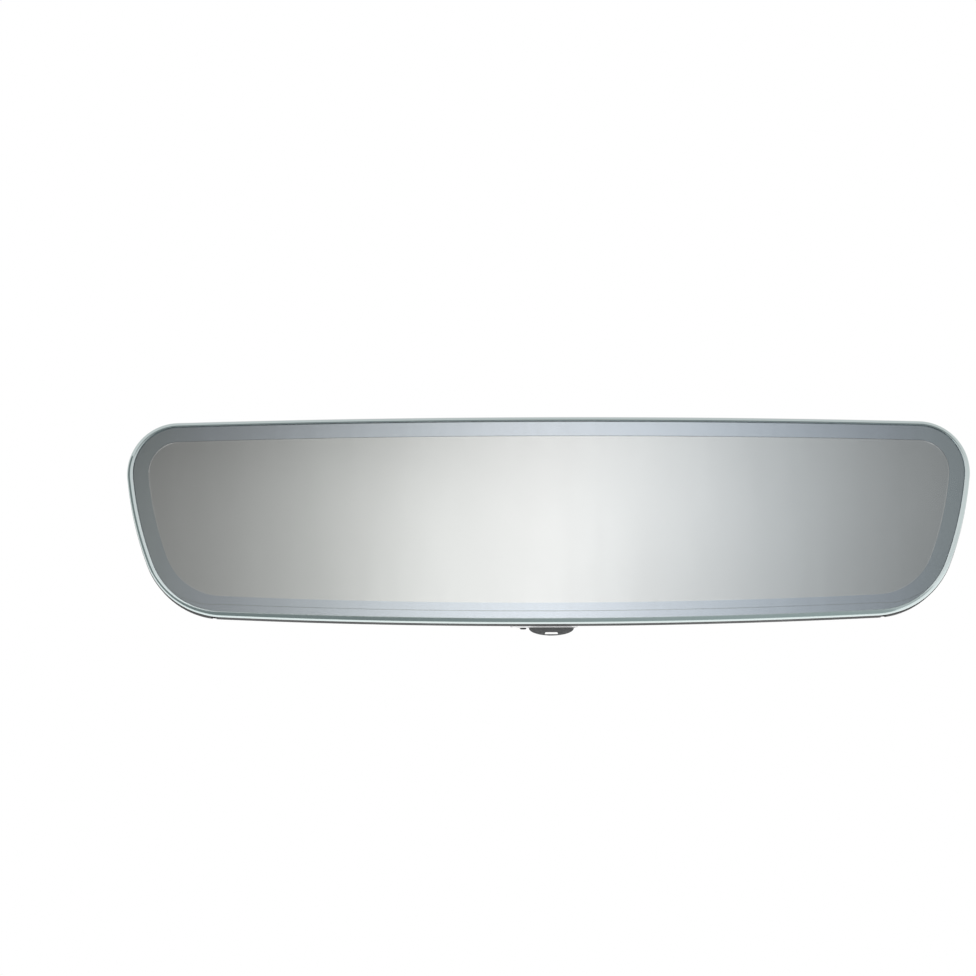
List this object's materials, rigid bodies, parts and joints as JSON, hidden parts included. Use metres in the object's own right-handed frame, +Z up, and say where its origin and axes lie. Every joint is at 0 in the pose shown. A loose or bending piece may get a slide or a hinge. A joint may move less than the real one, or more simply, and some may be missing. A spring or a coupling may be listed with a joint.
{
  "type": "interior rearview mirror",
  "caption": "Frameless auto-dimming interior rearview mirror with a flip lever, on a ball-jointed arm for a windscreen button.",
  "frame": {"origin": "centre of the face bonded to the windscreen", "axes": "+X to the driver's right along the mirror's width, +Y forwards to the windscreen, +Z up; the mirror faces -Y"},
  "size_m": [0.254, 0.091, 0.0649],
  "materials": {
    "black_adhesive": "matt adhesive film",
    "steel": "zinc plated",
    "dark_steel": "black oxide",
    "black_casting": "textured black paint",
    "grey_casting": "as cast",
    "nylon": "natural nylon",
    "clear_glass": "clear, ground edge",
    "chrome_ring": "bright vacuum coating",
    "seal_rubber": "matt",
    "clear_gel": "clear gel",
    "mirror_film": "silver mirror coating",
    "clip_bronze": "rolled strip",
    "black_plastic": "fine grain",
    "display_black": "polished",
    "white_film": "matt white",
    "clear_acrylic": "clear acrylic",
    "white_board": "white solder mask",
    "led_lens": "phosphor filled lens",
    "aluminium_sheet": "rolled sheet",
    "green_board": "green solder mask",
    "chip_black": "moulded epoxy",
    "smoked_lens": "smoked clear plastic",
    "gold_pin": "gold flash"
  },
  "bodies": {
    "windscreen_mount": {"adhesive_film": "black_adhesive", "windscreen_button": "steel", "mirror_arm": "black_casting", "foot_set_screw": "dark_steel", "ball_screw": "steel"},
    "ball": {"pivot_ball": "steel"},
    "liner": {"ball_liner": "nylon"},
    "bracket": {"socket_bracket": "grey_casting", "socket_retainer": "grey_casting", "retainer_screws": "steel"},
    "head": {"front_glass": "clear_glass", "perimeter_ring": "chrome_ring", "edge_seal": "seal_rubber", "dimming_gel": "clear_gel", "reflector_coating": "mirror_film", "rear_glass": "clear_glass", "bus_clip_top": "clip_bronze", "bus_clip_bottom": "clip_bronze", "glass_tape": "seal_rubber", "carrier_frame": "black_plastic", "frame_screws": "steel", "display_panel": "display_black", "diffuser_film": "white_film", "light_guide": "clear_acrylic", "backlight_strip": "white_board", "backlight_leds": "led_lens", "display_tray": "aluminium_sheet", "main_board": "green_board", "board_screws": "steel", "board_components": "chip_black", "ambient_sensor": "chip_black", "ambient_lens": "smoked_lens", "glare_sensor": "smoked_lens", "glare_sensor_board": "green_board", "plug_socket": "nylon", "plug_pins": "gold_pin", "tilt_frame": "steel", "hinge_pin": "steel", "lever_pin": "steel", "detent_spring": "clip_bronze", "button_switch": "chip_black", "rear_housing": "black_plastic", "shell_screws": "dark_steel"},
    "lever": {"flip_lever": "black_plastic"},
    "button": {"menu_button": "black_plastic"}
  },
  "joints": [
    {"name": "ball_roll", "type": "hinge", "parent": "windscreen_mount", "child": "ball", "pos_m": [0, -0.0526, -0.018], "axis": [0, 1, 0], "range_deg": [-10, 10]},
    {"name": "head_yaw", "type": "hinge", "parent": "ball", "child": "liner", "pos_m": [0, -0.0526, -0.018], "axis": [0, 0, 1], "range_deg": [-20, 20]},
    {"name": "head_pitch", "type": "hinge", "parent": "liner", "child": "bracket", "pos_m": [0, -0.0526, -0.018], "axis": [1, 0, 0], "range_deg": [-15, 15]},
    {"name": "head_tilt", "type": "hinge", "parent": "bracket", "child": "head", "pos_m": [0, -0.0596, -0.004], "axis": [1, 0, 0], "range_deg": [-4.5, 0]},
    {"name": "lever_flip", "type": "hinge", "parent": "head", "child": "lever", "pos_m": [0.0009, -0.0596, -0.0445], "axis": [1, 0, 0], "range_deg": [-28, 0]},
    {"name": "menu_press", "type": "slide", "parent": "head", "child": "button", "axis": [0, 0, 1], "range_m": [0, 0.0005], "stiffness_N_per_m": 2000, "springref_m": -0.0003}
  ],
  "couplings": [
    {"joint": "lever_flip", "follows": "head_tilt", "ratio": 6.2222}
  ]
}
